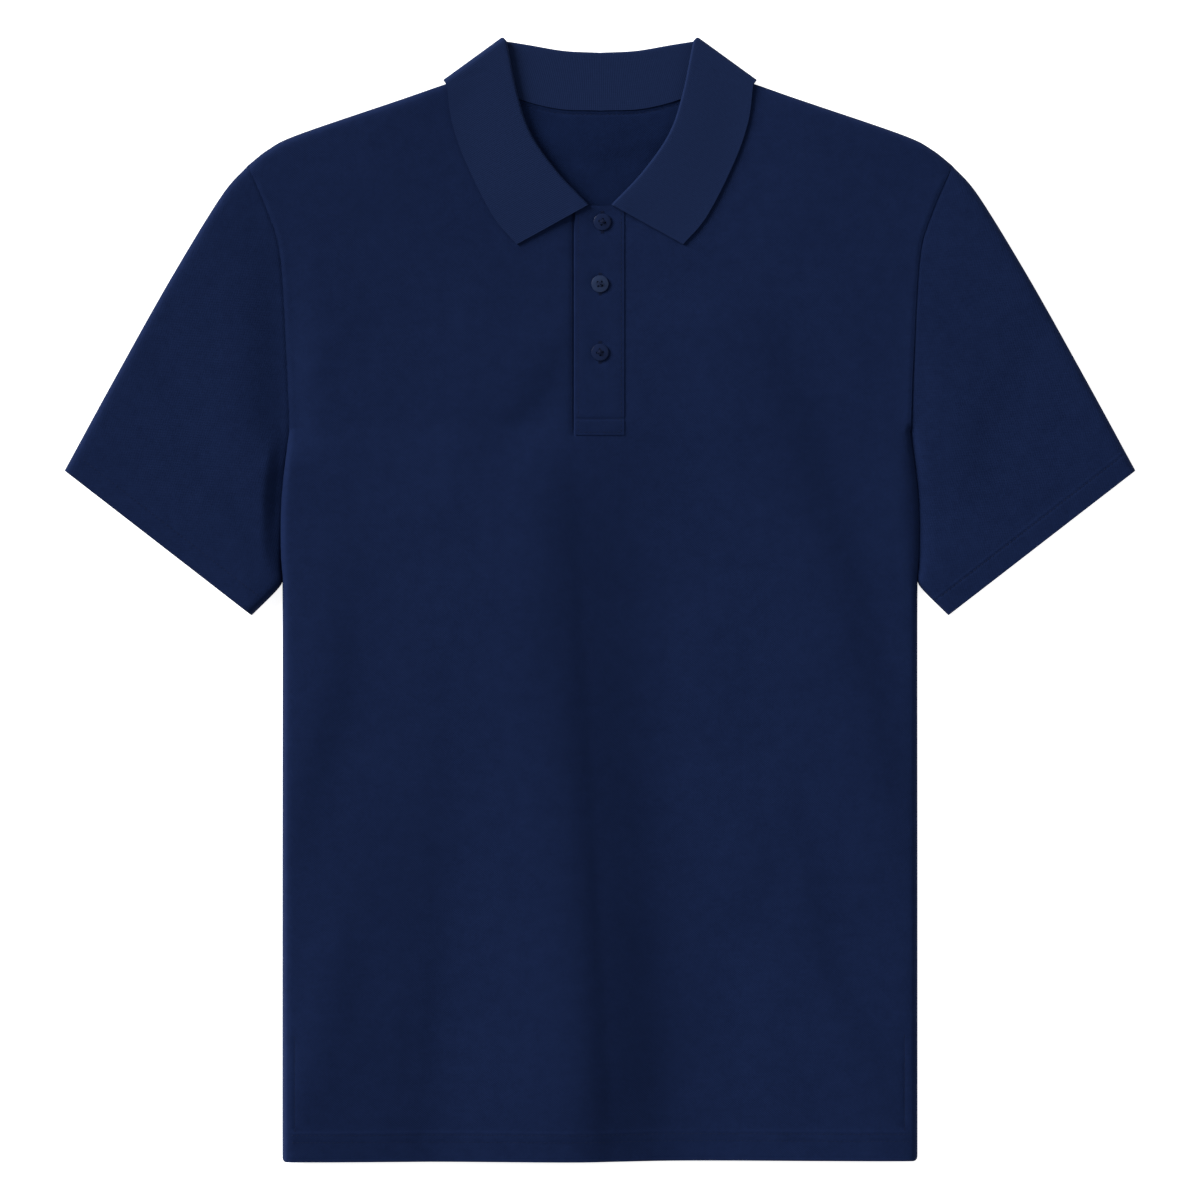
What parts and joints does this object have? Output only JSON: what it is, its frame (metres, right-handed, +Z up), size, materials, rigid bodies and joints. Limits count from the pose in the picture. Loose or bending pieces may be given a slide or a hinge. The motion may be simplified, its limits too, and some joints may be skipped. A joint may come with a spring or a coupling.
{
  "type": "polo shirt",
  "caption": "Short-sleeved knit polo shirt laid flat on its back, buttoned to the neck, with a rib-knit collar, a placket and open cuffs and hem.",
  "frame": {"origin": "on the surface that the shirt lies on, under the middle of its outline", "axes": "+X towards the wearer's left sleeve, +Y towards the collar, +Z up out of the chest"},
  "size_m": [0.7166, 0.7516, 0.0113],
  "materials": {
    "pique_knit": "navy cotton pique knit, matte with a faint soft sheen",
    "rib_knit": "navy fine rib knit, matte",
    "button_plastic": "navy satin button with a raised rim"
  },
  "bodies": {
    "root": {"front": "pique_knit", "back": "pique_knit", "sleeve_left": "pique_knit", "sleeve_right": "pique_knit", "placket_top": "pique_knit", "placket_under": "pique_knit", "collar": "rib_knit", "button_1": "button_plastic", "button_2": "button_plastic", "button_3": "button_plastic"}
  },
  "joints": []
}
